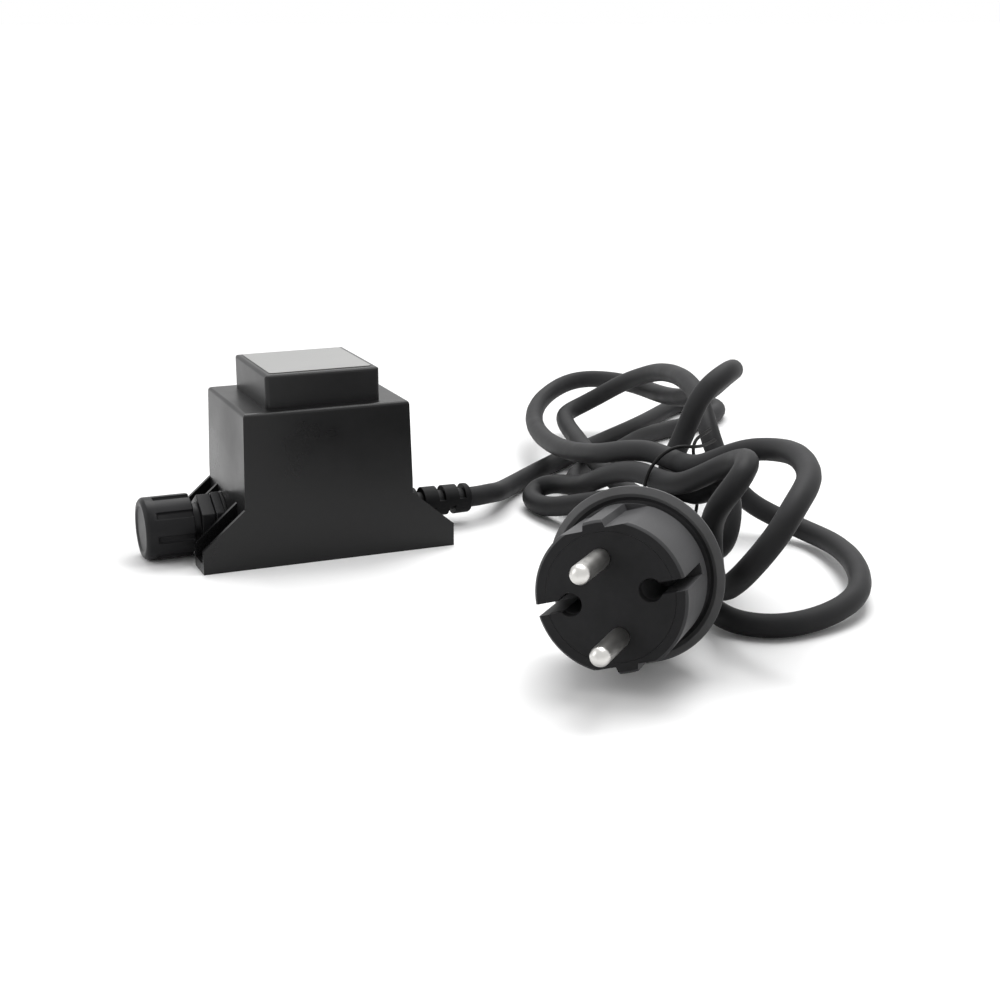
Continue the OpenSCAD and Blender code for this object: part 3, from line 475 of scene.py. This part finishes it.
def cap_piece():
    columns = cap_columns()
    bm = bmesh.new()
    rings = []
    for s, r, deep in CAP_STATIONS:
        if r == 0:
            rings.append([bm.verts.new(cap_point(s, 0, 0))])
            continue
        ring = []
        for angle, low in columns:
            inset = GRIP_DEPTH * deep if low and r > GRIP_ABOVE else 0
            ring.append(bm.verts.new(cap_point(s, r - inset, angle)))
        rings.append(ring)
    for a, b in zip(rings, rings[1:]):
        for k in range(len(columns)):
            j = (k + 1) % len(columns)
            if len(a) == 1:
                bm.faces.new((a[0], b[k], b[j]))
            elif len(b) == 1:
                bm.faces.new((a[k], b[0], a[j]))
            else:
                bm.faces.new((a[k], b[k], b[j], a[j]))
    bmesh.ops.recalc_face_normals(bm, faces=bm.faces)
    for f in bm.faces:
        f.smooth = True
    mesh = bpy.data.meshes.new("cap_shell")
    bm.to_mesh(mesh)
    bm.free()
    return even_shading(link(bpy.data.objects.new("cap_shell", mesh)))


settle(cap_piece(), CAP, CAP_PLASTIC, "screw_cap")

# CAD nodes that stay as they are
for node, m in {
    "sealing_compound": RESIN, "core_e": LAMINATION, "core_i": LAMINATION, "bobbin": BOBBIN_NYLON,
    "primary_winding": PRIMARY_WIRE, "secondary_winding": SECONDARY_WIRE, "winding_tape": TAPE_FILM,
    "thermal_fuse": FUSE_CAN, "terminal_pins": TERMINAL_METAL, "live_wire": BROWN_WIRE,
    "neutral_wire": BLUE_WIRE, "output_wire_a": RED_WIRE, "output_wire_b": BLACK_WIRE,
    "contact_carrier": CARRIER_PLASTIC, "outlet_contacts": CONTACT_METAL, "cap_seal": SEAL_RUBBER,
    "cord_end": CORD_RUBBER, "plug_pins": PIN_METAL, "pin_crimps": CRIMP_METAL,
}.items():
    give(NODES[node], m)


def looked_at(nodes, links):
    """A socket that is 1 for rays that look at things and 0 for rays that light them."""
    ray = nodes.new("ShaderNodeLightPath")
    level = ray.outputs["Is Camera Ray"]
    for kind in ("Is Glossy Ray", "Is Transmission Ray"):
        level = highest(nodes, links, level, ray.outputs[kind])
    return level


def seen_or_lit(nodes, links, lights, shows, output):
    """Gives an output one shader for the light it sends, and another for how it looks."""
    both = nodes.new("ShaderNodeMixShader")
    links.new(looked_at(nodes, links), both.inputs[0])
    links.new(lights.outputs[0], both.inputs[1])
    links.new(shows.outputs[0], both.inputs[2])
    links.new(both.outputs[0], output.inputs[0])


# The floor is white to look at. The light that it sends back to the object grows from FLOOR_DIM
# in front to FLOOR_BRIGHT behind, as under a backdrop that curves up.
FLOOR_HALF, FLOOR_TURN = 30, 0.25
FLOOR_DIM, FLOOR_BRIGHT = 0.15, 1.3
FLOOR_WHITE = (0.93, 0.93, 0.93, 1)
floor_mesh = bpy.data.meshes.new("floor")
bm = bmesh.new()
bmesh.ops.create_grid(bm, x_segments=1, y_segments=1, size=FLOOR_HALF)
bm.to_mesh(floor_mesh)
bm.free()
floor = link(bpy.data.objects.new("floor", floor_mesh))
floor_material = bpy.data.materials.new("floor_white")
floor_material.use_nodes = True
n, l = floor_material.node_tree.nodes, floor_material.node_tree.links
n.clear()
felt = n.new("ShaderNodeBsdfDiffuse")
at = n.new("ShaderNodeTexCoord")
place = n.new("ShaderNodeSeparateXYZ")
l.new(at.outputs["Object"], place.inputs[0])
far = map_range(n, l, place.outputs["Y"], (-FLOOR_TURN, FLOOR_TURN),
                (FLOOR_DIM, FLOOR_BRIGHT), smooth=True)
l.new(far, felt.inputs["Color"])
shown = n.new("ShaderNodeBsdfDiffuse")
shown.inputs["Color"].default_value = FLOOR_WHITE
seen_or_lit(n, l, felt, shown, n.new("ShaderNodeOutputMaterial"))
floor.data.materials.append(floor_material)

# The world is plain white to look at. It lights the object from both sides at SIDE_LEVEL, and
# between them at a level that grows from front to back.
WHITE = (1, 1, 1, 1)
SIDE_FROM, SIDE_FULL, SIDE_LEVEL = 0.3, 0.95, 1.2
DEPTH_SPAN, DEPTH_LEVELS = (-1, 0.6), (0.3, 0.75)
world = bpy.data.worlds.new("studio")
bpy.context.scene.world = world
world.use_nodes = True
n, l = world.node_tree.nodes, world.node_tree.links
n.clear()
direction = n.new("ShaderNodeTexCoord")
parts = n.new("ShaderNodeSeparateXYZ")
l.new(direction.outputs["Generated"], parts.inputs[0])
depth = map_range(n, l, parts.outputs["Y"], DEPTH_SPAN, DEPTH_LEVELS)
left = map_range(n, l, parts.outputs["X"], (-SIDE_FROM, -SIDE_FULL),
                 (0, SIDE_LEVEL), smooth=True)
right = map_range(n, l, parts.outputs["X"], (SIDE_FROM, SIDE_FULL),
                  (0, SIDE_LEVEL), smooth=True)
sky = n.new("ShaderNodeBackground")
sky.inputs["Color"].default_value = WHITE
l.new(highest(n, l, depth, highest(n, l, left, right)), sky.inputs["Strength"])
plain = n.new("ShaderNodeBackground")
plain.inputs["Color"].default_value = WHITE
plain.inputs["Strength"].default_value = 1.0
seen_or_lit(n, l, sky, plain, n.new("ShaderNodeOutputWorld"))

# A wide lamp overhead, a little behind the object and to its right, and two small panels:
# one far out on the left and one above the plug
SUN_LEVEL, SUN_SPREAD = 1.7, math.radians(40)
SUN_BACK, SUN_RIGHT = math.radians(-28), math.radians(14)
sun_data = bpy.data.lights.new("overhead", "SUN")
sun_data.energy = SUN_LEVEL
sun_data.angle = SUN_SPREAD
sun = link(bpy.data.objects.new("overhead", sun_data))
sun.rotation_euler = (SUN_BACK, SUN_RIGHT, 0)


def area_light(name, at, target, size, energy):
    data = bpy.data.lights.new(name, "AREA")
    data.shape = "RECTANGLE"
    data.size, data.size_y = size
    data.energy = energy
    obj = link(bpy.data.objects.new(name, data))
    obj.location = at
    obj.rotation_euler = (Vector(target) - Vector(at)).to_track_quat("-Z", "Y").to_euler()


area_light("left_panel", (-0.75, 0.15, 0.45), (0, 0, 0.03), size=(0.5, 0.7), energy=1.5)
area_light("front_panel", (0.16, -0.10, 0.34), (0.08, -0.11, 0.03), size=(0.18, 0.18), energy=0.5)
